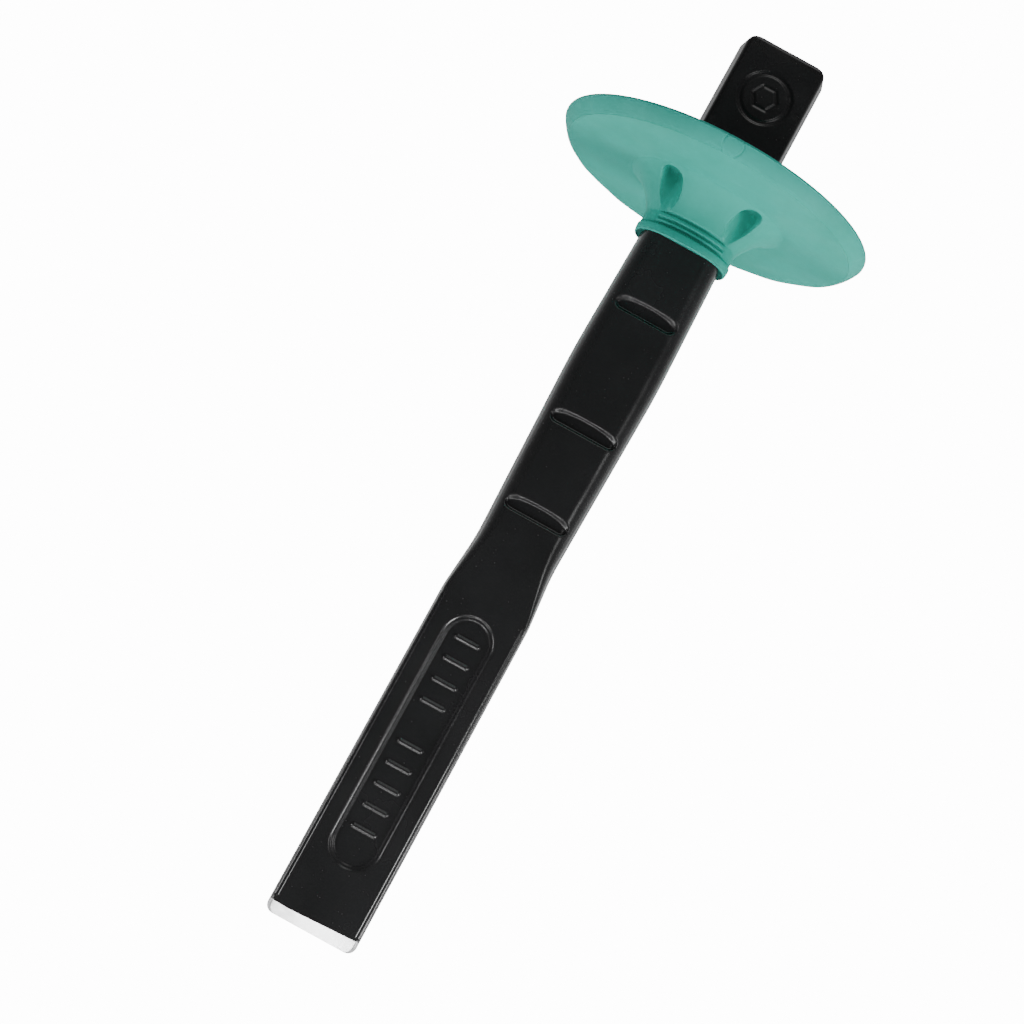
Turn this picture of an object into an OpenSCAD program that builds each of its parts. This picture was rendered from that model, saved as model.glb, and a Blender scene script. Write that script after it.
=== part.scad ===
// Cold chisel with a slip-on hand guard.
// Two pieces: a one-piece steel forging and a moulded rubber guard that grips its upper neck.
// X runs along the tool from the cutting edge to the struck end, Y across it and Z out of its
// broad face. The origin is the middle of the cutting edge. Units are millimetres.

/* [Chisel] */
// Length from the cutting edge to the struck end
tool_length = 200; // [190:1:215]
// Width of the blade at the cutting edge
edge_width = 19.3; // [17:0.1:22]
// Width of the blade at its shoulder
blade_width = 19.1; // [17:0.1:22]
// Length of the blade from the cutting edge to its shoulder
blade_length = 71.5; // [65:0.5:75]
// Thickness of the blade behind the ground bevel
blade_tip_thickness = 3.5; // [2.5:0.1:5]
// Thickness of the blade at its shoulder
blade_root_thickness = 9.4; // [7:0.1:11]
// Length of the ground bevel
bevel_length = 2.6; // [2:0.1:5]
// Width at the two necks of the handle
neck_width = 17; // [15.5:0.1:18]
// Width at the swell of the handle
swell_width = 19.15; // [18.2:0.05:21]
// Thickness of the handle
handle_thickness = 12; // [11:0.1:13]
// Width of the head
head_width = 19.1; // [18:0.1:21]

/* [Grip grooves] */
// Places of the three finger grooves along the tool
groove_places = [91.6, 111.1, 137.5];
// Length of a finger groove across the face
groove_length = 14.2; // [10:0.1:15]
// Width of a finger groove along the tool
groove_width = 3.4; // [2.5:0.1:4.5]
// Depth of a finger groove
groove_depth = 0.8; // [0.3:0.1:1.2]

/* [Marks] */
// Width of the long sunk panel on the blade
panel_width = 10.8; // [8:0.1:12]
// Depth of the sunk panel
panel_depth = 0.6; // [0.3:0.1:0.9]
// Outer diameter of the round mark on the head
mark_diameter = 11.2; // [8:0.1:13]

/* [Guard] */
// Diameter of the guard disc
guard_diameter = 68; // [50:1:90]
// Thickness of the guard disc
guard_thickness = 3.4; // [3.2:0.1:5]
// Place of the disc's head side along the tool
guard_place = 168.75; // [164:0.25:172]
// Length of the guard's collar below the disc
collar_length = 12.2; // [9:0.1:14]
// Width of the collar's oval tube
collar_width = 20.8; // [20.4:0.1:24]
// Thickness of the collar's oval tube
collar_thickness = 15.2; // [14.8:0.1:18]
// Radius of the four grip flutes
flute_radius = 2.5; // [1.5:0.1:3]

/* [Hidden] */

// Stations along the forging, from the edge to the struck end
lower_neck_x = blade_length + 11.5;
swell_x = 125.3;
upper_neck_x = 167.5;
head_x = 177;
shoulder_ease = 3;
swell_ease = 5.5;
neck_ease = 4;
edge_land = 0.25;
edge_corner = 1.8;
head_corner = 2.2;
neck_thickness = handle_thickness - 0.4;

// Draft and corner radius of the forging's section
blade_draft = 0.5;
handle_draft = 0.9;
blade_round = 0.5;
handle_round = 2.7;
collar_round = 3.6;
head_round = 1;

corner_steps = 7;
station_step = 3;
eps = 0.01;

// Guard
shank_clearance = 0.06;
rim_axial = 2.9;
rim_radial = 2.2;
rim_steps = 8;
rim_start = 38;
rim_stop = 62;
rib_places = [2.2, 3.35, 4.75];
rib_depth = 0.35;
rib_width = 0.9;
flare_start = 4.4;
flare_reach = 7;
flare_power = 1.4;
oval_power = 2.3;
oval_steps = 72;
lip_rise = 0.3;
lip_length = 1.6;
flute_far = [8.6, 9.1];
flute_near = [8, 8];
flute_floor = 0.8;
hub_height = 1.6;
hub_wall = 2.4;
rib_length = 15.2;
rim_mark_place = [1.95, 1.2];
rim_mark_diameter = 4.7;
rim_mark_width = 0.5;
rim_mark_depth = 0.3;

guard_face_x = guard_place - guard_thickness;
collar_end_x = guard_face_x - collar_length;

// Smooth ramp: 0 before the corner, then its distance past it, eased over +-r
function ramp(x, r) = x <= -r ? 0 : x >= r ? x : (x + r) * (x + r) / (4 * r);

// A line through corner points [x, value, ease], with every inner corner eased
function slope(p, i) = (p[i + 1][1] - p[i][1]) / (p[i + 1][0] - p[i][0]);
function bends(p, x) = [for (i = [1 : len(p) - 2]) (slope(p, i) - slope(p, i - 1)) * ramp(x - p[i][0], p[i][2])];
function total(v, i = 0) = i == len(v) ? 0 : v[i] + total(v, i + 1);
function eased(p, x) = p[0][1] + slope(p, 0) * (x - p[0][0]) + total(bends(p, x));

WIDTH = [
    [0, edge_width, 0],
    [blade_length, blade_width, 1.2],
    [lower_neck_x, neck_width, shoulder_ease],
    [swell_x, swell_width, swell_ease],
    [upper_neck_x, neck_width, neck_ease],
    [head_x, head_width, shoulder_ease],
    [tool_length, head_width - 0.1, 0]
];
THICKNESS = [
    [0, edge_land, 0],
    [bevel_length, blade_tip_thickness, 0.15],
    [blade_length, blade_root_thickness, 2],
    [lower_neck_x, neck_thickness, shoulder_ease],
    [swell_x, handle_thickness, neck_ease],
    [tool_length, handle_thickness, 0]
];
DRAFT = [
    [0, blade_draft, 0],
    [blade_length, blade_draft, 2],
    [lower_neck_x, handle_draft, shoulder_ease],
    [tool_length, handle_draft, 0]
];
ROUND = [
    [0, blade_round, 0],
    [blade_length, blade_round, 2],
    [lower_neck_x + 6, handle_round, shoulder_ease],
    [upper_neck_x, collar_round, neck_ease],
    [head_x, head_round, shoulder_ease],
    [tool_length, head_round, 0]
];

// How far a quarter-round end of radius r has pulled in, d before the end
function end_pull(d, r) = d >= r ? 0 : r - sqrt(r * r - (r - d) * (r - d));

function half_width(x) = eased(WIDTH, x) / 2 - end_pull(x, edge_corner) - end_pull(tool_length - x, head_corner);
function half_thick(x) = eased(THICKNESS, x) / 2 - end_pull(tool_length - x, head_round);

// First quarter of a section: drafted side, round corner and flat face
function quarter(a, b, tilt, r) = let (c = a - r / cos(tilt) - (b - r) * tan(tilt)) concat(
    [[a, 0]],
    [for (k = [0 : corner_steps]) let (t = tilt + (90 - tilt) * k / corner_steps) [c + r * cos(t), b - r + r * sin(t)]],
    [[0, b]]
);

// Whole section as a ring of [y, z] points, made by mirroring the quarter
function ring(q) = let (n = len(q) - 1) concat(
    [for (i = [0 : n]) q[i]],
    [for (i = [n - 1 : -1 : 0]) [-q[i][0], q[i][1]]],
    [for (i = [1 : n]) [-q[i][0], -q[i][1]]],
    [for (i = [n - 1 : -1 : 1]) [q[i][0], -q[i][1]]]
);

// Section of the forging at x, grown all round by g
function section(x, g = 0) = let (
    b = half_thick(x),
    tilt = min(atan(eased(DRAFT, x) / b), 38),
    r = min(eased(ROUND, x), 0.8 * b)
) ring(quarter(half_width(x) + g, b + g, tilt, r + g));

// Triangles that join rings of n points at m stations into a closed skin
function skin(n, m) = concat(
    [for (i = [0 : m - 2], j = [0 : n - 1]) let (k = (j + 1) % n) [i * n + j, (i + 1) * n + k, i * n + k]],
    [for (i = [0 : m - 2], j = [0 : n - 1]) let (k = (j + 1) % n) [i * n + j, (i + 1) * n + j, (i + 1) * n + k]],
    [[for (j = [0 : n - 1]) j]],
    [[for (j = [n - 1 : -1 : 0]) (m - 1) * n + j]]
);

module loft(stations, rings) {
    points = [for (i = [0 : len(stations) - 1], p = rings[i]) [stations[i], p[0], p[1]]];
    polyhedron(points, skin(len(rings[0]), len(stations)), convexity = 6);
}

// Stations of the forging: close together where its outline turns quickly
function span(from, to, step) = let (n = ceil((to - from) / step)) [for (i = [0 : n - 1]) from + (to - from) * i / n];
BODY_X = concat(
    span(0, edge_corner, 0.3),
    span(edge_corner, bevel_length + 0.3, 0.3),
    span(bevel_length + 0.3, blade_length - 2, 12),
    span(blade_length - 2, lower_neck_x + 6, 1.3),
    span(lower_neck_x + 6, upper_neck_x - 4, station_step),
    span(upper_neck_x - 4, head_x + 3, 1.6),
    span(head_x + 3, tool_length - head_corner, 9),
    span(tool_length - head_corner, tool_length - 0.05, 0.3),
    [tool_length]
);

// Slot with round ends along X, standing on z = 0
slot_steps = 16;
function slot_end(s, reach, r) = [for (k = [0 : slot_steps]) let (t = 180 * k / slot_steps - 90)
    [s * (reach + r * cos(t)), s * r * sin(t)]];
module slot(length, width, height) {
    reach = (length - width) / 2;
    linear_extrude(height = height) polygon(concat(slot_end(1, reach, width / 2), slot_end(-1, reach, width / 2)));
}

// Finger groove: a shallow round-bottomed cut across the face
module groove(x) {
    chord_radius = (groove_width * groove_width / 4 + groove_depth * groove_depth) / (2 * groove_depth);
    reach = groove_length / 2 - groove_width / 2;
    translate([x, 0, half_thick(x) - groove_depth + chord_radius]) union() {
        rotate([90, 0, 0]) cylinder(r = chord_radius, h = 2 * reach, center = true, $fn = 48);
        for (s = [-1, 1]) translate([0, s * reach, 0]) sphere(r = chord_radius, $fn = 48);
    }
}

// Sunk panel on the blade, parallel to the tapered face
panel_from = 13.8;
panel_to = 68.5;
panel_mid = (panel_from + panel_to) / 2;
taper = atan((blade_root_thickness - blade_tip_thickness) / 2 / (blade_length - bevel_length));
bar_height = 0.4;
bar_length = 5.6;
bar_width = 1.1;
bar_places = [22, 26.6, 31.2, 35.8, 40.4, 49.5, 54.1, 58.7, 63.3];
module on_blade(x) {
    translate([x, 0, half_thick(x)]) rotate([0, -taper, 0]) children();
}
module panel(bars) {
    on_blade(panel_mid) translate([0, 0, -panel_depth]) difference() {
        slot(panel_to - panel_from, panel_width, 2);
        if (bars) for (x = bar_places) {
            translate([x - panel_mid, 0, -eps]) rotate([0, 0, 90]) slot(bar_length, bar_width, bar_height);
        }
    }
}

// Round mark on the head: a ring groove round a plain hexagon outline
mark_x = 188.6;
mark_ring = 0.9;
mark_depth = 0.4;
hexagon_flat = 2.6;
hexagon_line = 0.6;
hexagon_depth = 0.2;
module groove_outline(outer, width, depth, sides) {
    translate([mark_x, 0, handle_thickness / 2 - depth]) rotate([0, 0, 30]) difference() {
        cylinder(r = outer, h = 2, $fn = sides);
        translate([0, 0, -eps]) cylinder(r = outer - width, h = 3, $fn = sides);
    }
}
module head_mark() {
    groove_outline(mark_diameter / 2, mark_ring, mark_depth, 60);
    groove_outline(hexagon_flat / cos(30), hexagon_line / cos(30), hexagon_depth, 6);
}

// The forging: blade, handle and head in one piece of steel
module chisel_body() color("#1f2022") difference() {
    loft(BODY_X, [for (x = BODY_X) section(x)]);
    for (x = groove_places, side = [0, 180]) rotate([side, 0, 0]) groove(x);
    panel(true);
    rotate([180, 0, 0]) panel(false);
    head_mark();
}

// Outline of the disc from its axis to the rim, curved from a crease towards the blade
rim_centre = guard_diameter / 2 - rim_radial;
rim_angles = [for (k = [0 : rim_steps]) rim_start + (rim_stop - rim_start) * k / rim_steps];
rim_arc = [for (t = rim_angles) [
    rim_centre + rim_radial * (sin(t) - sin(rim_start)) / (sin(rim_stop) - sin(rim_start)),
    rim_axial * (cos(rim_start) - cos(t)) / (cos(rim_start) - cos(rim_stop))
]];
DISC = concat([[0, 0]], rim_arc, [[guard_diameter / 2, guard_thickness - 0.2],
    [guard_diameter / 2 - 0.2, guard_thickness], [0, guard_thickness]]);

// Collar round the shank: an oval tube with a rounded lip and a hollow flare up to the disc
flare_x = collar_end_x + flare_start;
flare_length = guard_face_x - flare_x;
function flare(x) = let (t = min(max((x - flare_x) / flare_length, 0), 1))
    flare_reach * (1 - pow(1 - pow(t, flare_power), 1 / flare_power));
function lip(x) = let (d = x - collar_end_x)
    d > lip_length + 0.3 ? 0 : lip_rise * (1 - end_pull(max(d, 0), lip_length) / lip_length);
function oval(grow) = [for (k = [0 : oval_steps - 1]) let (
    t = 360 * k / oval_steps,
    u = pow(abs(cos(t)) / (collar_width / 2 + grow), oval_power),
    v = pow(abs(sin(t)) / (collar_thickness / 2 + grow), oval_power),
    r = pow(u + v, -1 / oval_power)
) [r * cos(t), r * sin(t)]];
COLLAR_X = concat(
    [collar_end_x, collar_end_x + 0.15],
    span(collar_end_x + 0.4, collar_end_x + lip_length, 0.45),
    [collar_end_x + lip_length, collar_end_x + lip_length + 0.35],
    span(flare_x, guard_face_x - 1, 0.7),
    [guard_face_x - 1, guard_face_x - 0.5, guard_face_x - 0.15, guard_face_x + 0.6]
);
COLLAR = [for (x = COLLAR_X) oval(lip(x) - lip_rise + flare(min(x, guard_face_x - 0.15)))];

// Low hub on the head side of the disc
HUB_X = [guard_place - 0.5, guard_place + hub_height - 0.6, guard_place + hub_height];
HUB_GROW = [hub_wall + 0.5, hub_wall, hub_wall - 0.6];

// Bore: the shank's own shape with a running gap, open at both ends
BORE_X = concat([collar_end_x - 1], span(collar_end_x, guard_place + hub_height, 2.2), [guard_place + hub_height + 1]);
module bore() loft(BORE_X, [for (x = BORE_X) section(x, shank_clearance)]);

// Fine grooves across one broad side of the collar
module ribs() {
    for (place = rib_places) {
        rib_x = collar_end_x + place;
        intersection() {
            difference() {
                loft([rib_x - rib_width / 2, rib_x + rib_width / 2], [oval(2), oval(2)]);
                loft([rib_x - rib_width, rib_x, rib_x + rib_width],
                    [oval(rib_depth - lip_rise), oval(-rib_depth - lip_rise), oval(rib_depth - lip_rise)]);
            }
            translate([rib_x - 1, -rib_length / 2, 0]) cube([2, rib_length, collar_thickness]);
        }
    }
}

// Four blind flutes beside the collar, one at each corner
module flute_bar(y, z) translate([flare_x, y, z]) rotate([0, 90, 0])
    cylinder(r = flute_radius, h = flare_length + flute_floor, $fn = 40);
module flutes() {
    for (sy = [-1, 1], sz = [-1, 1]) hull() {
        flute_bar(sy * flute_far[0], sz * flute_far[1]);
        flute_bar(sy * flute_near[0], sz * flute_near[1]);
    }
}

// Moulding mark: a fine ring pressed into the sloping top of the rim
module rim_mark() {
    rim_z = rim_centre + rim_radial * rim_mark_place[0] / rim_axial - rim_mark_depth;
    slope_angle = atan2(rim_radial, rim_axial);
    translate([guard_face_x + rim_mark_place[0], rim_mark_place[1], rim_z]) rotate([0, -slope_angle, 0]) difference() {
        cylinder(d = rim_mark_diameter, h = 2, $fn = 40);
        translate([0, 0, -eps]) cylinder(d = rim_mark_diameter - 2 * rim_mark_width, h = 3, $fn = 40);
    }
}

// The guard: disc, collar and hub in one rubber moulding
module hand_guard() color("#5fb5a8") difference() {
    union() {
        translate([guard_face_x, 0, 0]) rotate([90, 0, 90]) rotate_extrude($fn = 96) polygon(DISC);
        loft(COLLAR_X, COLLAR);
        loft(HUB_X, [for (i = [0 : 2]) section(HUB_X[i], HUB_GROW[i])]);
    }
    bore();
    flutes();
    for (side = [0, 180]) rotate([side, 0, 0]) ribs();
    rim_mark();
}

chisel_body();
hand_guard();
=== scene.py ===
"""Cold chisel with a rubber hand guard: the looks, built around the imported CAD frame.

The forging and the guard are rebuilt as dense meshes from the same formulas as the CAD, with
the forging's marks, rounded edges and dents as real shape, and procedural materials on top.
Shape functions work in millimetres. A mesh is scaled to metres when it is made.
"""
import math

import bpy
import numpy as np
from mathutils import Matrix, Vector


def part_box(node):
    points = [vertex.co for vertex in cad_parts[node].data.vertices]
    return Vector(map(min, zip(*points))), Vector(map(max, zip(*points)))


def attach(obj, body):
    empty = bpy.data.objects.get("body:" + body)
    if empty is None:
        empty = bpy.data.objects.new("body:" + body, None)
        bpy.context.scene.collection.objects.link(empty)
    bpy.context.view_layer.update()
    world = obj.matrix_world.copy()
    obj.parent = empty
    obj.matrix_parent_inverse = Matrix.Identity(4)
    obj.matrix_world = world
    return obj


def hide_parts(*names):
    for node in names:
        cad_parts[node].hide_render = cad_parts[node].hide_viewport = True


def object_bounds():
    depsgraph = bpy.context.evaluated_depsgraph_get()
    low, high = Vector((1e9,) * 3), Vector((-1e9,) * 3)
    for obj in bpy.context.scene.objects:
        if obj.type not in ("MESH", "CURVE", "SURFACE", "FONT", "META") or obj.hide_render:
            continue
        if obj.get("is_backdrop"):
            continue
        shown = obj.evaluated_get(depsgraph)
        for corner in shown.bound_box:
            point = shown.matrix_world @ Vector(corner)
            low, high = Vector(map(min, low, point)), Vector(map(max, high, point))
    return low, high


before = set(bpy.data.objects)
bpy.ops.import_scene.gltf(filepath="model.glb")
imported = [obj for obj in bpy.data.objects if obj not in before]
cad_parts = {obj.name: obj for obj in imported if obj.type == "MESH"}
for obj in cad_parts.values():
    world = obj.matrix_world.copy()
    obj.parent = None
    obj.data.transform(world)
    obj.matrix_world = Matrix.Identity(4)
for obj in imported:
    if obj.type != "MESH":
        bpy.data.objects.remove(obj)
CAD_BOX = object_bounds()

MM = 0.001
BODY_HIGH = np.array(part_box("chisel_body")[1]) / MM
GUARD_LOW, GUARD_HIGH = [np.array(corner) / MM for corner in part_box("hand_guard")]
BODY_SEED, GUARD_SEED = 7, 11

# ---------------------------------------------------------------- driving dimensions, in mm
LENGTH = BODY_HIGH[0]
EDGE_WIDTH = 2 * BODY_HIGH[1]
THICK = 2 * BODY_HIGH[2]
BLADE_WIDTH = 19.1
BLADE_LENGTH = 71.5
TIP_THICK = 3.5
ROOT_THICK = 9.4
BEVEL = 2.6
EDGE_HALF = 0.12
NECK_WIDTH = 17.0
SWELL_WIDTH = 19.15
HEAD_WIDTH = 19.1
LOWER_NECK = BLADE_LENGTH + 11.5
SWELL = 125.3
UPPER_NECK = 167.5
HEAD = 177.0
EDGE_CORNER = 1.8
HEAD_CORNER = 2.2
HEAD_ROUND = 1.0

# How far back the ground bevel reaches: at the middle, its lean with y, and its curl at +y
BEVEL_START, BEVEL_LEAN, BEVEL_CURL = 2.5, -0.043, 5e-5

# Marks pressed into the forging. HALF is half a mark's width, and SOFT is how wide its wall is.
# Each groove is [x, length], and each bar is its x.
GROOVES = ((91.6, 14.1), (111.1, 14.8), (137.5, 13.7))
GROOVE_WIDTH, GROOVE_DEPTH, GROOVE_CORNER, GROOVE_SOFT = 3.5, 0.8, 1.7, 0.6
GROOVE_WALL, GROOVE_WALL_GAIN = 0.4, 1.15
LEDGE_FROM, LEDGE_INSET, LEDGE_WIDTH, LEDGE_DEPTH, LEDGE_SOFT = 3.2, 0.2, 1.15, 0.22, 0.3
PANEL_FROM, PANEL_TO, PANEL_WIDTH, PANEL_DEPTH, PANEL_SOFT = 13.8, 68.5, 10.8, 0.34, 0.45
STEP_INSET, STEP_DEPTH, STEP_SOFT = 0.8, 0.22, 0.28
BARS = (22.0, 26.6, 31.2, 35.8, 40.4, 49.5, 54.1, 58.7, 63.3)
BAR_HALF, BAR_CORNER, BAR_HEIGHT, BAR_SOFT = (0.55, 2.8), 0.5, 0.34, 0.4
MARK_X, MARK_RADIUS, MARK_HEXAGON = 188.6, 5.2, 2.3
RING_HALF, RING_DEPTH, RING_SOFT = 0.66, 0.26, 0.46
LINE_HALF, LINE_DEPTH, LINE_SOFT = 0.42, 0.2, 0.3
SKIN_DEPTH, SKIN_SIZE, SKIN_WAVES = 0.035, 11, 14
DENTS, DENT_RADIUS, DENT_DEPTH = 90, (0.3, 0.9), (0.01, 0.05)
PARTING = 0.01

GUARD_RADIUS = min(-GUARD_LOW[1], GUARD_HIGH[1])
GUARD_BACK = 168.75
GUARD_FACE = GUARD_BACK - 3.4
HUB_TOP = GUARD_HIGH[0]
COLLAR_END = GUARD_LOW[0]
COLLAR_HALF = (10.4, 7.6)
COLLAR_POWER = 2.3
MOUTH_ROUND, EDGE_ROUND, HUB_FILLET, HUB_ROUND = 0.3, 0.2, 0.5, 0.6
HUB_WALL, CROWN_WALL, BORE_GAP = 2.9, 2.4, 0.06
FLARE_FROM = COLLAR_END + 4.4
FLARE_REACH, FLARE_POWER = 7.0, 1.4
RIBS = (2.2, 3.35, 4.75)
RIB_HALF, RIB_DEPTH, RIB_SOFT, RIB_REACH = 0.47, 0.46, 0.36, 8.1
LIP_RISE, LIP_LONG, LIP_END = 0.3, 1.6, 2.1
RIM_AXIAL, RIM_RADIAL = 2.9, 2.2
RIM_START, RIM_STOP = math.radians(38), math.radians(62)
RIM_MARK, RIM_MARK_RADIUS = (167.3, 1.2), 2.1
RIM_MARK_HALF, RIM_MARK_DEPTH, RIM_MARK_SOFT = 0.3, 0.14, 0.22
FLUTE_FAR, FLUTE_NEAR, FLUTE_RADIUS, FLUTE_FLOOR = (8.6, 9.1), (8.0, 8.0), 2.5, 0.8
FACE_DEPTH, FACE_SIZE, FACE_WAVES = 0.05, 9, 12

# Points round the guard, with more over the top arc, in degrees, where the moulding ring is
AROUND, TOP_ARC, TOP_COUNT = 720, (80, 98), 220

# Nicks in the disc's face: centre y, z, radius, and where the arc starts and stops in degrees
NICKS = ((16.2, -5.6, 2.4, 150, 215), (-29.5, -7.5, 3.2, 215, 285), (30.2, 3.0, 2.6, 20, 80))
NICK_HALF, NICK_DEPTH, NICK_SOFT = 0.2, 0.16, 0.16

# Corner points [x, value, ease] of each measure along the forging, as in the CAD
TAPER = (ROOT_THICK - TIP_THICK) / (BLADE_LENGTH - BEVEL)
WIDTH = [
    (0, EDGE_WIDTH, 0), (BLADE_LENGTH, BLADE_WIDTH, 1.2), (LOWER_NECK, NECK_WIDTH, 3),
    (SWELL, SWELL_WIDTH, 5.5), (UPPER_NECK, NECK_WIDTH, 4), (HEAD, HEAD_WIDTH, 3),
    (LENGTH, HEAD_WIDTH - 0.1, 0),
]
THICKNESS = [
    (0, TIP_THICK - TAPER * BEVEL, 0), (BLADE_LENGTH, ROOT_THICK, 2), (LOWER_NECK, THICK - 0.4, 3),
    (SWELL, THICK, 4), (LENGTH, THICK, 0),
]
DRAFT = [(0, 0.5, 0), (BLADE_LENGTH, 0.5, 2), (LOWER_NECK, 0.9, 3), (LENGTH, 0.9, 0)]
ROUND = [
    (0, 0.5, 0), (BLADE_LENGTH, 0.5, 2), (LOWER_NECK + 6, 2.7, 3), (UPPER_NECK, 3.6, 4),
    (HEAD, HEAD_ROUND, 3), (LENGTH, HEAD_ROUND, 0),
]

# Rings along the forging, [from, to, step]: closer together where there are fine marks
STATIONS = (
    (0, EDGE_CORNER, 0.06), (EDGE_CORNER, 4.2, 0.08), (4.2, 12, 0.4), (12, 70, 0.16), (70, 88, 0.3),
    (88, 142, 0.2), (142, 180, 0.4), (180, 194, 0.16), (194, LENGTH - HEAD_CORNER, 0.3),
)

# Shares of the way from a rounded edge to the middle of a broad face, closer near the edge
FACE_SHARES = np.concatenate([np.linspace(0, 0.2, 19)[1:], np.linspace(0.2, 1, 39)[1:]])
SIDE_STEPS, ARC_STEPS = 6, 14
MOST_DRAFT = math.radians(38)


# ---------------------------------------------------------------- shape functions, in mm
def eased(points, x):
    """The line through the corner points at x, with each inner corner eased over +-ease."""
    def slope(i):
        return (points[i + 1][1] - points[i][1]) / (points[i + 1][0] - points[i][0])

    value = points[0][1] + slope(0) * (x - points[0][0])
    for i in range(1, len(points) - 1):
        at, ease = points[i][0] - x, points[i][2]
        ramp = np.where(at <= -ease, -at, np.where(at >= ease, 0.0, (ease - at) ** 2 / (4 * ease)))
        value = value + (slope(i) - slope(i - 1)) * ramp
    return value


def end_pull(distance, radius):
    """How far a quarter-round end of that radius has pulled in, that distance before the end."""
    d = np.clip(distance, 0, radius)
    return radius - np.sqrt(np.maximum(radius ** 2 - (radius - d) ** 2, 0))


def smooth(value):
    """0 up to 0, 1 from 1 on, and an eased rise between."""
    t = np.clip(value, 0, 1)
    return t * t * (3 - 2 * t)


def slot_distance(u, v, half_u, half_v, corner):
    """Signed distance to a rectangle with round corners: negative inside."""
    du, dv = np.abs(u) - (half_u - corner), np.abs(v) - (half_v - corner)
    outside = np.hypot(np.maximum(du, 0), np.maximum(dv, 0))
    return outside + np.minimum(np.maximum(du, dv), 0) - corner


def hexagon_distance(u, v, flat):
    """Signed distance to a hexagon whose sides are that far from its centre."""
    sides = [u * math.cos(a) + v * math.sin(a) for a in np.radians([0, 60, 120])]
    return np.max(np.abs(sides), axis=0) - flat


def ripple(points, size, count, generator):
    """A smooth random field of about unit height, with waves of about that size."""
    total = np.zeros(points.shape[:-1])
    for _ in range(count):
        direction = generator.normal(size=3)
        direction *= 2 * math.pi / (size * generator.uniform(0.7, 1.6) * np.linalg.norm(direction))
        total += np.sin(points @ direction + generator.uniform(0, 2 * math.pi))
    return total / math.sqrt(count / 2)


def section(x, grow=0.0):
    """Rings of (y, z) points of the forging's section at each x, grown all round by grow."""
    half_w = eased(WIDTH, x) / 2 - end_pull(x, EDGE_CORNER) - end_pull(LENGTH - x, HEAD_CORNER)
    half_t = eased(THICKNESS, x) / 2 - end_pull(LENGTH - x, HEAD_ROUND)
    tilt = np.minimum(np.arctan(eased(DRAFT, x) / half_t), MOST_DRAFT)
    radius = np.minimum(eased(ROUND, x), 0.8 * half_t) + grow
    a, b = half_w + grow, half_t + grow
    centre = a - radius / np.cos(tilt) - (b - radius) * np.tan(tilt)
    quarter = []
    foot_y, foot_z = centre + radius * np.cos(tilt), b - radius + radius * np.sin(tilt)
    for k in range(SIDE_STEPS):
        quarter.append((a + (foot_y - a) * k / SIDE_STEPS, foot_z * k / SIDE_STEPS))
    for k in range(ARC_STEPS + 1):
        angle = tilt + (math.pi / 2 - tilt) * k / ARC_STEPS
        quarter.append((centre + radius * np.cos(angle), b - radius + radius * np.sin(angle)))
    for share in FACE_SHARES:
        quarter.append((centre * (1 - share), b))
    y, z = [np.array([np.broadcast_to(p[i], x.shape) for p in quarter]).T for i in (0, 1)]
    ring_y = np.concatenate([y, -y[:, -2::-1], -y[:, 1:], y[:, -2:0:-1]], axis=1)
    ring_z = np.concatenate([z, z[:, -2::-1], -z[:, 1:], -z[:, -2:0:-1]], axis=1)
    return ring_y, ring_z


# ---------------------------------------------------------------- marks pressed into the forging
def groove_depth(x, y):
    """Finger grooves: a broad rounded wall towards the head, a short one towards the edge."""
    depth = np.zeros_like(x)
    half_wide = GROOVE_WIDTH / 2 + 1
    for place, length in GROOVES:
        reach = np.minimum(np.abs(y) / (length / 2), 1)
        head_side = GROOVE_WIDTH / 2 * np.sqrt(1 - reach ** 6) - (x - place)
        edge_side = -slot_distance(x - place - 1, y, half_wide, length / 2, GROOVE_CORNER)
        wall = GROOVE_WALL + GROOVE_WALL_GAIN * reach ** 2
        ramp = 0.75 * np.clip(head_side / wall, 0, 1) + 0.25 * smooth(head_side / wall)
        depth += GROOVE_DEPTH * ramp * smooth(edge_side / GROOVE_SOFT)
    return depth


def edge_ledge(x, y):
    """A narrow sunk ledge along both long edges of the blade."""
    inset = eased(WIDTH, x) / 2 - LEDGE_INSET - np.abs(y)
    along = smooth((x - LEDGE_FROM) / 0.4) * smooth((BLADE_LENGTH - 0.5 - x) / 2)
    return LEDGE_DEPTH * smooth((LEDGE_WIDTH - inset) / LEDGE_SOFT) * along


def panel_depth(x, y, bars):
    """The blade's long sunk panel, in two steps, with raised bars across it if bars is true."""
    mid = (PANEL_FROM + PANEL_TO) / 2
    half = (PANEL_TO - PANEL_FROM) / 2
    inside = -slot_distance(x - mid, y, half, PANEL_WIDTH / 2, PANEL_WIDTH / 2)
    step = STEP_DEPTH * smooth((inside - STEP_INSET) / STEP_SOFT)
    depth = PANEL_DEPTH * smooth(inside / PANEL_SOFT) + step
    if bars:
        for place in BARS:
            bar = slot_distance(x - place, y, *BAR_HALF, BAR_CORNER)
            depth -= BAR_HEIGHT * smooth(-bar / BAR_SOFT)
    return depth


def mark_depth(x, y):
    """A ring groove round a plain hexagon outline."""
    r = np.hypot(x - MARK_X, y)
    ring = RING_DEPTH * smooth((RING_HALF - np.abs(r - MARK_RADIUS)) / RING_SOFT)
    hexagon = hexagon_distance(x - MARK_X, y, MARK_HEXAGON)
    return ring + LINE_DEPTH * smooth((LINE_HALF - np.abs(hexagon)) / LINE_SOFT)


def pressed_depth(x, y, z):
    """All the marks: the bars and the ring are on the upper face only."""
    upper = panel_depth(x, y, True) + mark_depth(x, y)
    depth = groove_depth(x, y)
    depth += np.where(z > 0, upper, panel_depth(x, y, False))
    return depth + edge_ledge(x, y)


def flat_share(x, z):
    """1 on the broad faces, and 0 up to 0.65 of the way out to them from the middle plane."""
    return smooth(np.abs(z) / (eased(THICKNESS, x) / 2) * 4 - 2.6)


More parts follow.
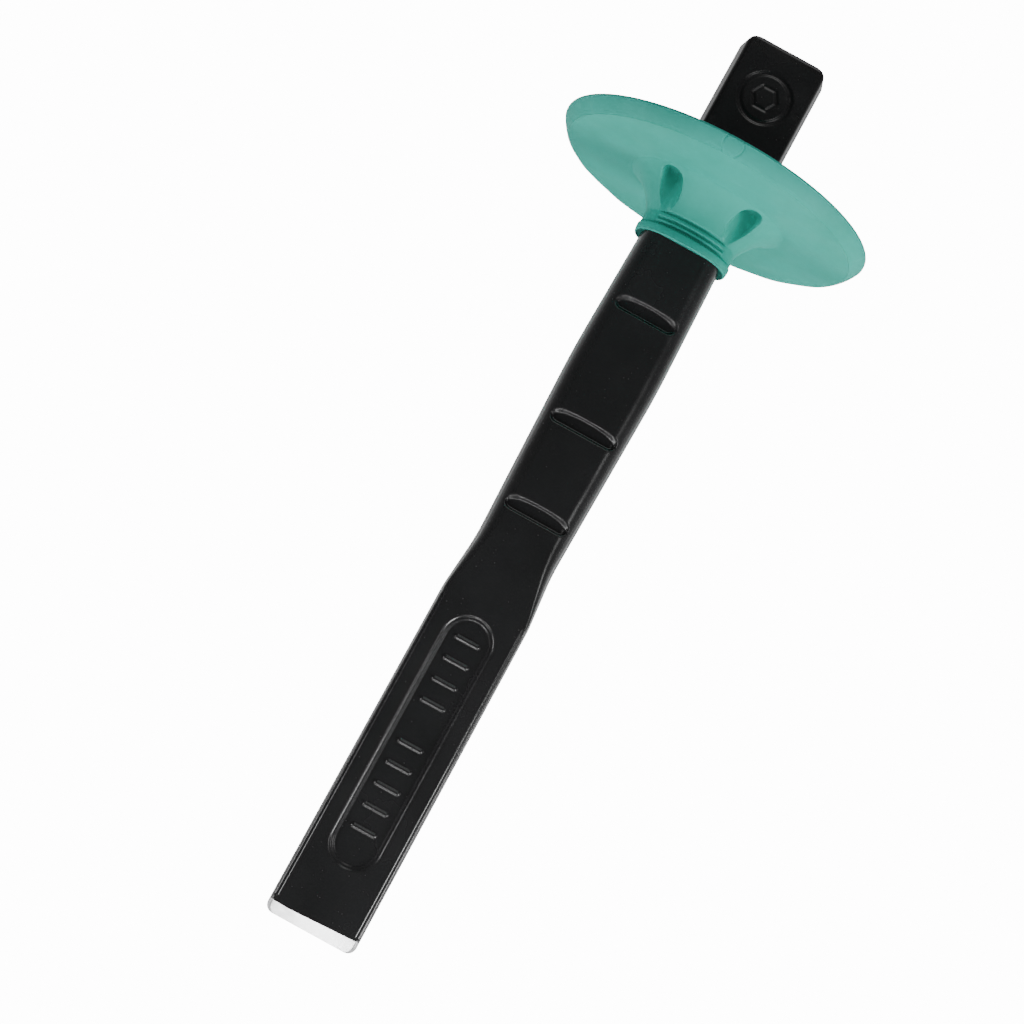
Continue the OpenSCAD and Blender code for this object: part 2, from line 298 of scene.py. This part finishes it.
def edge_bevel(x, y):
    """How far back the ground bevel reaches, for each y. It leans, and curls back at +y."""
    return BEVEL_START + BEVEL_LEAN * y + BEVEL_CURL * np.maximum(y, 0) ** 4


def ground_squash(x, y):
    """How much the ground bevel thins the forging: 1 where it has none."""
    wedge = EDGE_HALF + (TIP_THICK / 2 - EDGE_HALF) * x / edge_bevel(x, y)
    return np.minimum(wedge / (eased(THICKNESS, x) / 2), 1)


def dents(points, places, radii, depths):
    """Depth of small round dents at those places."""
    total = np.zeros(points.shape[:-1])
    for place, radius, depth in zip(places, radii, depths):
        near = np.abs(points[..., 0] - place[0]) < 3 * radius
        gap = np.linalg.norm(points[near] - place, axis=-1)
        total[near] += depth * np.exp(-(gap / radius) ** 2)
    return total


# ---------------------------------------------------------------- meshes
def grid_mesh(name, points, ends):
    """A mesh from rings of points, points[ring][place]. Its ends are "capped" or "joined"."""
    rows, columns = points.shape[:2]
    index = np.arange(rows * columns).reshape(rows, columns)
    here = index if ends == "joined" else index[:-1]
    after = np.roll(index, -1, axis=0) if ends == "joined" else index[1:]
    corners = (here, after, np.roll(after, -1, axis=1), np.roll(here, -1, axis=1))
    faces = np.stack(corners, axis=-1).reshape(-1, 4).tolist()
    if ends == "capped":
        faces += [index[0].tolist(), index[-1][::-1].tolist()]
    mesh = bpy.data.meshes.new(name)
    mesh.from_pydata((points.reshape(-1, 3) * MM).tolist(), [], faces)
    mesh.validate()
    mesh.shade_smooth()
    piece = bpy.data.objects.new(name, mesh)
    bpy.context.scene.collection.objects.link(piece)
    return piece


def body_stations():
    """The x of each ring along the forging, with the head's rounded end last."""
    turn = np.sin(np.linspace(0, math.pi / 2, 24))
    end = LENGTH - HEAD_CORNER * (1 - turn)
    return np.unique(np.round(np.concatenate([np.arange(*s) for s in STATIONS] + [end]), 4))


def roughened(depth, points, flatness):
    """The depths with the forging's uneven skin and small dents added."""
    generator = np.random.default_rng(BODY_SEED)
    skin = 1 + ripple(points, SKIN_SIZE, SKIN_WAVES, generator)
    depth = depth + SKIN_DEPTH * skin * flatness
    flat = points.reshape(-1, 3)
    chosen = flat[generator.integers(0, len(flat), DENTS)]
    radii = generator.uniform(*DENT_RADIUS, DENTS)
    return depth + dents(points, chosen, radii, generator.uniform(*DENT_DEPTH, DENTS))


def chisel_mesh():
    """The whole forging. Its marks fade out where the broad faces turn into the sides.

    Points on the parting plane, half-way up the sides, stay where they are.
    """
    x = body_stations()
    ring_y, ring_z = section(x)
    ring_x = np.broadcast_to(x[:, None], ring_y.shape)
    points = np.stack([ring_x, ring_y, ring_z], axis=-1)
    flatness = flat_share(ring_x, ring_z)
    depth = roughened(pressed_depth(ring_x, ring_y, ring_z) * flatness, points, flatness)
    height = np.maximum(np.abs(ring_z) - depth * (np.abs(ring_z) > PARTING), 0)
    points[..., 2] = np.sign(ring_z) * height * ground_squash(ring_x, ring_y)

    end = points[-1]
    centre = end.mean(axis=0)
    inner = [centre + (end - centre) * share for share in (0.9, 0.7, 0.4, 0.15)]
    return grid_mesh("forged_chisel", np.concatenate([points, np.array(inner)]), "capped")


def shank_radius(angles, x, grow):
    """Distance from the axis to the grown shank's outline at each angle."""
    ring_y, ring_z = section(np.array([float(x)]), grow)
    angle = np.unwrap(np.arctan2(ring_z[0], ring_y[0]))
    radius = np.hypot(ring_y[0], ring_z[0])
    return np.interp(angles, np.append(angle, angle[0] + 2 * math.pi), np.append(radius, radius[0]))


def collar_radius(angles, grow=0.0):
    """Distance from the axis to the collar's rounded oval, grown all round by grow."""
    a, b = COLLAR_HALF[0] + grow, COLLAR_HALF[1] + grow
    n = COLLAR_POWER
    return ((np.abs(np.cos(angles)) / a) ** n + (np.abs(np.sin(angles)) / b) ** n) ** (-1 / n)


def rib_depth(x, angles):
    """Three fine grooves across each broad side of the collar, with rounded ridges between."""
    across = collar_radius(angles) * np.abs(np.cos(angles))
    fade = smooth((RIB_REACH - across) / 1.5)
    gaps = [RIB_HALF - abs(x - COLLAR_END - place) for place in RIBS]
    return sum(RIB_DEPTH * smooth(gap / RIB_SOFT) for gap in gaps) * fade


def collar_swell(x):
    """The collar bulges a little at its lip, then draws in and flares."""
    fade = smooth((COLLAR_END + LIP_END - x) / 0.5)
    lip = LIP_RISE * (1 - end_pull(x - COLLAR_END, LIP_LONG) / LIP_LONG) * fade
    t = min(max((x - FLARE_FROM) / (GUARD_FACE - FLARE_FROM), 0), 1)
    return lip - LIP_RISE + FLARE_REACH * (1 - (1 - t ** FLARE_POWER) ** (1 / FLARE_POWER))


def quarter_turn(radius, count):
    """How far back and how far in a rounded edge of that radius is, at each step round it."""
    turn = np.linspace(0, math.pi / 2, count)
    return [(radius * (1 - math.sin(t)), radius * (1 - math.cos(t))) for t in turn]


def collar_rings(angles):
    """From the collar's mouth along its outside and out over the flare."""
    for back, inward in quarter_turn(MOUTH_ROUND, 8):
        x = COLLAR_END + back
        yield x, collar_radius(angles, collar_swell(x) - inward)
    for x in np.arange(COLLAR_END + MOUTH_ROUND + 0.08, FLARE_FROM, 0.07):
        yield x, collar_radius(angles, collar_swell(x)) - rib_depth(x, angles)
    for t in np.linspace(0, math.pi / 2, 150)[1:]:
        way = 0.5 * math.sin(t) + 0.5 * min(math.sin(t) + 0.2 * t, 1)
        x = FLARE_FROM + (GUARD_FACE - FLARE_FROM) * way
        yield x, collar_radius(angles, collar_swell(x)) - rib_depth(x, angles)


def face_rings(angles):
    """Out over the disc's blade side, its sloping rim band and its edge."""
    inner = collar_radius(angles, collar_swell(GUARD_FACE))
    outer = GUARD_RADIUS - RIM_RADIAL
    for share in np.linspace(0, 1, 110)[1:]:
        yield GUARD_FACE, inner + (outer - inner) * share
    for t in np.linspace(RIM_START, RIM_STOP, 44):
        drop = (math.cos(RIM_START) - math.cos(t)) / (math.cos(RIM_START) - math.cos(RIM_STOP))
        rise = (math.sin(t) - math.sin(RIM_START)) / (math.sin(RIM_STOP) - math.sin(RIM_START))
        yield GUARD_FACE + RIM_AXIAL * drop, outer + RIM_RADIAL * rise
    for x in np.linspace(GUARD_FACE + RIM_AXIAL, GUARD_BACK - 0.25, 6):
        yield x, GUARD_RADIUS


def back_rings(angles):
    """In over the disc's struck side and up its low hub."""
    for back, inward in quarter_turn(EDGE_ROUND, 6):
        yield GUARD_BACK - back, GUARD_RADIUS - inward
    outer = GUARD_RADIUS - EDGE_ROUND
    hub = shank_radius(angles, GUARD_BACK, HUB_WALL)
    for share in np.linspace(0, 1, 40)[1:-1]:
        yield GUARD_BACK, outer + (hub - outer) * share
    for t in np.linspace(0, math.pi / 2, 8):
        yield GUARD_BACK + HUB_FILLET * (1 - math.cos(t)), hub - HUB_FILLET * math.sin(t)
    crown = shank_radius(angles, HUB_TOP, CROWN_WALL)
    for back, inward in quarter_turn(HUB_ROUND, 8):
        yield HUB_TOP - back, crown - inward


def bore_rings(angles):
    """Back through the bore, just clear of the shank."""
    for x in np.linspace(HUB_TOP - 0.05, COLLAR_END + 0.05, 30):
        yield x, shank_radius(angles, x, BORE_GAP)


def guard_profile(angles):
    """The x and the radius of every ring round the guard, at each angle."""
    parts = (collar_rings, face_rings, back_rings, bore_rings)
    rings = [ring for part in parts for ring in part(angles)]
    places = np.array([np.full_like(angles, x) for x, _ in rings])
    return places, np.array([radius + 0 * angles for _, radius in rings])


def flute_pull(points):
    """How much each point of the blade side is sunk into the four blind flutes."""
    pull = np.zeros(points.shape[:-1])
    near, far = np.array(FLUTE_NEAR), np.array(FLUTE_FAR)
    way = far - near
    for sy in (-1, 1):
        for sz in (-1, 1):
            spot = points[..., 1:] * (sy, sz) - near
            along = np.clip(spot @ way / (way @ way), 0, 1)
            gap = np.linalg.norm(spot - along[..., None] * way, axis=-1)
            pull = np.maximum(pull, smooth((FLUTE_RADIUS + 0.12 - gap) / 0.5))
    return pull


def moulding_ring(x, radius, angles):
    """Depth of a fine ring pressed into the rim's upper side."""
    off = np.hypot(x - RIM_MARK[0], radius * np.cos(angles) - RIM_MARK[1])
    ring = smooth((RIM_MARK_HALF - np.abs(off - RIM_MARK_RADIUS)) / RIM_MARK_SOFT)
    at_top = (np.sin(angles) > 0.9) * (radius > 30)
    return RIM_MARK_DEPTH * ring * at_top


def nicks(points):
    """Depth of a few short curved nicks in the disc's face."""
    total = np.zeros(points.shape[:-1])
    for y, z, radius, start, stop in NICKS:
        dy, dz = points[..., 1] - y, points[..., 2] - z
        turn = np.mod(np.degrees(np.arctan2(dz, dy)) - start, 360)
        ends = smooth(turn / 12) * smooth((stop - start - turn) / 12)
        off = np.abs(np.hypot(dy, dz) - radius)
        total += NICK_DEPTH * ends * smooth((NICK_HALF - off) / NICK_SOFT)
    return total


def guard_mesh():
    """The whole guard: turned rings, then the flutes, then the open face's skin and nicks."""
    top = np.radians(np.linspace(*TOP_ARC, TOP_COUNT))
    even = np.linspace(0, 2 * math.pi, AROUND, endpoint=False)
    angles = np.unique(np.concatenate([even, top]))
    x, radius = guard_profile(angles)
    radius = radius - moulding_ring(x, radius, angles)
    points = np.stack([x, radius * np.cos(angles), radius * np.sin(angles)], axis=-1)

    outside = radius > collar_radius(angles, -0.6)
    facing = outside & (x < GUARD_FACE + 0.01)
    pull = np.where(facing, flute_pull(points) * smooth((x - FLARE_FROM - 0.1) / 0.9), 0)
    floor = GUARD_FACE + FLUTE_FLOOR
    points[..., 0] += pull * np.maximum(floor - points[..., 0], 0)

    skin = ripple(points, FACE_SIZE, FACE_WAVES, np.random.default_rng(GUARD_SEED))
    open_face = smooth((radius - 14) / 6) * (x < GUARD_FACE + 0.5)
    points[..., 0] += (FACE_DEPTH * skin + nicks(points)) * open_face
    return grid_mesh("rubber_guard", points, "joined")


# ---------------------------------------------------------------- materials
PAINT = ((0.018, 0.018, 0.0185, 1), (0.022, 0.022, 0.023, 1))
DUST = (0.08, 0.08, 0.08, 1)
STEEL = ((0.8, 0.81, 0.82, 1), (0.97, 0.97, 0.97, 1))
TEAL = ((0.032, 0.345, 0.275, 1), (0.042, 0.39, 0.32, 1))
SCUFF = (0.14, 0.6, 0.53, 1)
# Painted shade: the dark colour painted into each pit, standing in for the shade inside it
PIT_SHADE = (0.008, 0.15, 0.12, 1)
RUBBER_IOR = 1.17

# Sockets of a Mix node, by number: its two colours and their result, and its two plain numbers
COLOUR_A, COLOUR_B, COLOUR_OUT = 6, 7, 2
NUMBER_A, NUMBER_B = 2, 3


class Nodes:
    """A small helper that adds nodes to a material's tree and links them."""

    def __init__(self, name):
        self.material = bpy.data.materials.new(name)
        self.material.use_nodes = True
        self.tree = self.material.node_tree
        self.tree.nodes.clear()
        self.output = self.tree.nodes.new("ShaderNodeOutputMaterial")

    def add(self, kind, settings=None, **inputs):
        node = self.tree.nodes.new("ShaderNode" + kind)
        for key, value in (settings or {}).items():
            setattr(node, key, value)
        for key, value in inputs.items():
            self.put(node.inputs[key.replace("_", " ")], value)
        return node

    def put(self, socket, value):
        if isinstance(value, bpy.types.NodeSocket):
            self.tree.links.new(value, socket)
        else:
            socket.default_value = value

    def math(self, operation, a, b=0.0, c=0.0):
        node = self.add("Math", {"operation": operation})
        for socket, value in zip(node.inputs, (a, b, c)):
            self.put(socket, value)
        return node.outputs[0]

    def range(self, value, low, high):
        """0 at low, 1 at high, and an eased rise between."""
        node = self.add("MapRange", {"interpolation_type": "SMOOTHSTEP"})
        for socket, item in zip(node.inputs, (value, low, high)):
            self.put(socket, item)
        return node.outputs[0]

    def mix(self, factor, a, b):
        node = self.add("Mix", {"data_type": "RGBA"})
        self.put(node.inputs[0], factor)
        self.put(node.inputs[COLOUR_A], a)
        self.put(node.inputs[COLOUR_B], b)
        return node.outputs[COLOUR_OUT]

    def place(self, scale=(1.0, 1.0, 1.0)):
        """Object coordinates in millimetres, stretched by scale."""
        coordinates = self.add("TexCoord").outputs["Object"]
        mapping = self.add("Mapping")
        self.put(mapping.inputs["Vector"], coordinates)
        mapping.inputs["Scale"].default_value = [s / MM for s in scale]
        return mapping.outputs[0]

    def noise(self, vector, scale, detail=3.0, roughness=0.55):
        node = self.add("TexNoise", Scale=scale, Detail=detail, Roughness=roughness)
        self.put(node.inputs["Vector"], vector)
        return node.outputs[0]

    def specks(self, vector, scale, size, share):
        """Small round spots: a share of the cells of that scale hold one of that size."""
        cells = self.add("TexVoronoi", Scale=scale)
        self.put(cells.inputs["Vector"], vector)
        chosen = self.add("SeparateColor")
        self.put(chosen.inputs[0], cells.outputs["Color"])
        near = self.range(cells.outputs["Distance"], size, size * 0.4)
        return self.math("MULTIPLY", near, self.math("LESS_THAN", chosen.outputs[0], share))

    def bump(self, height, strength, distance_mm, before=None):
        node = self.add("Bump", Strength=strength, Distance=distance_mm * MM)
        self.put(node.inputs["Height"], height)
        if before is not None:
            self.put(node.inputs["Normal"], before)
        return node.outputs[0]

    def finish(self, shader):
        self.tree.links.new(shader.outputs[0], self.output.inputs["Surface"])
        return self.material


def bare_edge_mask(n):
    """1 on the ground bevel, 0 on the lacquer, with a slightly ragged border."""
    where = n.add("SeparateXYZ")
    n.put(where.inputs[0], n.place())
    x, y = where.outputs[0], where.outputs[1]
    lean = n.math("MULTIPLY_ADD", y, BEVEL_LEAN, BEVEL_START)
    corner = n.math("POWER", n.math("MAXIMUM", y, 0.0), 4.0)
    start = n.math("MULTIPLY_ADD", corner, BEVEL_CURL, lean)
    ragged = n.math("MULTIPLY", n.math("SUBTRACT", n.noise(n.place(), 1.4, 5.0), 0.5), 0.3)
    inside = n.math("SUBTRACT", n.math("ADD", start, ragged), x)
    return n.range(inside, -0.03, 0.06)


def lacquer_material():
    """Satin black lacquer with dust, and bare brushed steel on the ground bevel."""
    n = Nodes("black_lacquer")
    place = n.place()
    cloud = n.noise(place, 0.06, 4.0)
    grain = n.noise(place, 1.1, 4.0, 0.6)
    peel = n.noise(place, 0.45, 2.0)
    dust = n.math("MAXIMUM", n.specks(place, 0.5, 0.08, 0.16), n.specks(place, 1.3, 0.16, 0.12))
    bare = bare_edge_mask(n)
    streaks = n.noise(n.place((0.08, 1.0, 0.3)), 5.0, 5.0, 0.65)

    paint = n.mix(n.range(cloud, 0.3, 0.7), *PAINT)
    paint = n.mix(n.math("MULTIPLY", dust, 0.4), paint, DUST)
    steel = n.mix(streaks, *STEEL)
    colour = n.mix(bare, paint, steel)
    paint_rough = n.math("MULTIPLY_ADD", cloud, 0.18, 0.16)
    paint_rough = n.math("MULTIPLY_ADD", dust, 0.3, paint_rough)
    steel_rough = n.math("MULTIPLY_ADD", streaks, 0.16, 0.22)
    rough = n.math("MULTIPLY_ADD", n.math("SUBTRACT", steel_rough, paint_rough), bare, paint_rough)

    normal = n.bump(peel, 0.25, 0.05)
    normal = n.bump(grain, 0.22, 0.02, normal)
    normal = n.bump(n.math("MULTIPLY", streaks, bare), 0.5, 0.03, normal)
    shader = n.add("BsdfPrincipled", Base_Color=colour, Roughness=rough, Metallic=bare, Normal=normal)
    return n.finish(shader)


def rubber_material():
    """Matt teal rubber, a little cloudy, with pale scuffs and fine pitting: each pit is bumped in and
    darkened with painted shade.
    """
    n = Nodes("teal_rubber")
    place = n.place()
    cloud = n.noise(place, 0.05, 5.0, 0.6)
    blotch = n.noise(n.place((1.0, 0.35, 0.35)), 0.25, 4.0)
    grain = n.noise(place, 2.2, 3.0)
    # The pit spots drive both the real bump and the painted shade in each pit
    pits_and_shade = n.specks(place, 0.22, 0.07, 0.14)
    scuff = n.range(n.noise(n.place((1.0, 0.5, 2.4)), 0.16, 6.0, 0.7), 0.58, 0.72)

    colour = n.mix(n.range(cloud, 0.35, 0.65), *TEAL)
    colour = n.mix(n.math("MULTIPLY", scuff, 0.14), colour, SCUFF)
    # Painted shade: each pit is darkened towards the pit shade colour
    colour = n.mix(n.math("MULTIPLY", pits_and_shade, 0.75), colour, PIT_SHADE)
    rough = n.math("MULTIPLY_ADD", blotch, 0.2, 0.4)
    normal = n.bump(grain, 0.12, 0.03)
    normal = n.bump(blotch, 0.25, 0.1, normal)
    normal = n.bump(pits_and_shade, -0.6, 0.12, normal)
    shader = n.add("BsdfPrincipled", Base_Color=colour, Roughness=rough, Normal=normal)
    shader.inputs["IOR"].default_value = RUBBER_IOR
    return n.finish(shader)


# ---------------------------------------------------------------- camera, floor and light
CAMERA_DISTANCE = 493.4
CAMERA_TILT = math.radians(9.6)
CAMERA_ROLL = math.radians(28.79)
CAMERA_LENS = 87.9
AIM = (90.6, 4.5)
BACKDROP = 14.0
FLOOR_REACH, FLOOR_GAP = 6.0, 0.05
PAPER = (0.8, 0.8, 0.8, 1)
MIRRORED_SHARE = 0.02

# Between the first two heights, the room's strength goes from the third number to the fourth
ROOM = (0.08, 0.5, 0.27, 0.06)
LIT_CENTRE = (0.11, 0, 0)

# Name, azimuth and elevation in degrees, distance and size in metres, power in watts
SOFTBOXES = (
    ("right_softbox", -62, 4, 0.3, 0.16, 1.6),
    ("left_softbox", 58, 4, 0.3, 0.16, 0.98),
    ("front_softbox", -2, 23, 0.8, 0.16, 1.15),
    ("right_kicker", -21, 36, 0.7, 0.12, 0.45),
    ("left_kicker", 21, 36, 0.7, 0.13, 0.8),
    ("side_softbox", -90, 58, 0.7, 0.2, 0.7),
    ("head_softbox", 180, 44, 0.8, 0.24, 0.3),
    ("back_softbox", 178, 24, 0.55, 0.2, 0.24),
)


def add_camera():
    """The camera looks down on the broad face, a little from the blade's side."""
    view = Vector((math.sin(CAMERA_TILT), 0, -math.cos(CAMERA_TILT)))
    along = Vector((math.cos(CAMERA_TILT), 0, math.sin(CAMERA_TILT)))
    across = Vector((0, -1, 0))
    right = math.sin(CAMERA_ROLL) * along + math.cos(CAMERA_ROLL) * across
    up = math.cos(CAMERA_ROLL) * along - math.sin(CAMERA_ROLL) * across
    place = Vector((AIM[0], AIM[1], 0)) * MM - view * CAMERA_DISTANCE * MM
    data = bpy.data.cameras.new("camera")
    data.lens = CAMERA_LENS
    data.clip_start = 0.01
    camera = bpy.data.objects.new("camera", data)
    camera.matrix_world = Matrix.Translation(place) @ Matrix((right, up, -view)).transposed().to_4x4()
    bpy.context.scene.collection.objects.link(camera)
    bpy.context.scene.camera = camera


def add_floor():
    """A big pale sheet that touches the guard's rim and the blade, as a table does."""
    rim = Vector((GUARD_FACE + 2, 0, GUARD_LOW[2] - FLOOR_GAP)) * MM
    edge = Vector((BEVEL, 0, -TIP_THICK / 2 - FLOOR_GAP)) * MM
    along = (rim - edge).normalized()
    across = Vector((0, 1, 0))
    signs = ((-1, -1), (1, -1), (1, 1), (-1, 1))
    corners = [edge + FLOOR_REACH * (a * along + b * across) for a, b in signs]
    mesh = bpy.data.meshes.new("floor")
    mesh.from_pydata(corners, [], [(0, 1, 2, 3)])
    floor = bpy.data.objects.new("floor", mesh)
    bpy.context.scene.collection.objects.link(floor)
    mesh.materials.append(floor_material())
    floor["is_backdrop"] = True


def floor_material():
    """White to the camera, pale paper to the light, and almost unseen in reflections."""
    n = Nodes("floor")
    seen = n.add("LightPath")
    paper = n.add("BsdfDiffuse", Color=PAPER)
    glow = n.add("Emission", Strength=BACKDROP)
    blend = n.add("MixShader")
    mirrored = n.math("MULTIPLY", seen.outputs["Is Glossy Ray"], MIRRORED_SHARE)
    n.put(blend.inputs[0], n.math("MAXIMUM", seen.outputs["Is Camera Ray"], mirrored))
    n.put(blend.inputs[1], paper.outputs[0])
    n.put(blend.inputs[2], glow.outputs[0])
    return n.finish(blend)


def add_softbox(name, azimuth, elevation, distance, size, power):
    """A square light aimed at the tool. Azimuth 0 is past the blade, positive towards +Y."""
    a, e = math.radians(azimuth), math.radians(elevation)
    direction = Vector((-math.cos(a) * math.cos(e), math.sin(a) * math.cos(e), math.sin(e)))
    data = bpy.data.lights.new(name, "AREA")
    data.size = size
    data.energy = power
    light = bpy.data.objects.new(name, data)
    light.location = Vector(LIT_CENTRE) + direction * distance
    light.rotation_euler = direction.to_track_quat("Z", "Y").to_euler()
    bpy.context.scene.collection.objects.link(light)


def add_world():
    """A pale room that is dim overhead, with a plain white backdrop behind the tool."""
    world = bpy.data.worlds.new("room")
    world.use_nodes = True
    tree = world.node_tree
    tree.nodes.clear()
    direction = tree.nodes.new("ShaderNodeTexCoord")
    split = tree.nodes.new("ShaderNodeSeparateXYZ")
    height = tree.nodes.new("ShaderNodeMapRange")
    height.interpolation_type = "SMOOTHSTEP"
    for socket, value in zip(height.inputs[1:], ROOM):
        socket.default_value = value
    seen = tree.nodes.new("ShaderNodeLightPath")
    choice = tree.nodes.new("ShaderNodeMix")
    background = tree.nodes.new("ShaderNodeBackground")
    output = tree.nodes.new("ShaderNodeOutputWorld")
    choice.inputs[NUMBER_B].default_value = BACKDROP
    tree.links.new(direction.outputs["Generated"], split.inputs[0])
    tree.links.new(split.outputs[2], height.inputs[0])
    tree.links.new(seen.outputs["Is Camera Ray"], choice.inputs[0])
    tree.links.new(height.outputs[0], choice.inputs[NUMBER_A])
    tree.links.new(choice.outputs[0], background.inputs["Strength"])
    tree.links.new(background.outputs[0], output.inputs[0])
    bpy.context.scene.world = world


def build():
    add_camera()
    add_floor()
    add_world()
    for softbox in SOFTBOXES:
        add_softbox(*softbox)
    for piece, body, node, slot, material in (
        (chisel_mesh(), "chisel", "chisel_body", "black_lacquer", lacquer_material()),
        (guard_mesh(), "guard", "hand_guard", "teal_rubber", rubber_material()),
    ):
        piece.data.materials.append(material)
        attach(piece, body)
        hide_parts(node)


build()
boxes = {"cad": CAD_BOX, "visual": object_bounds()}
{name: [[float(v) for v in corner] for corner in box] for name, box in boxes.items()}
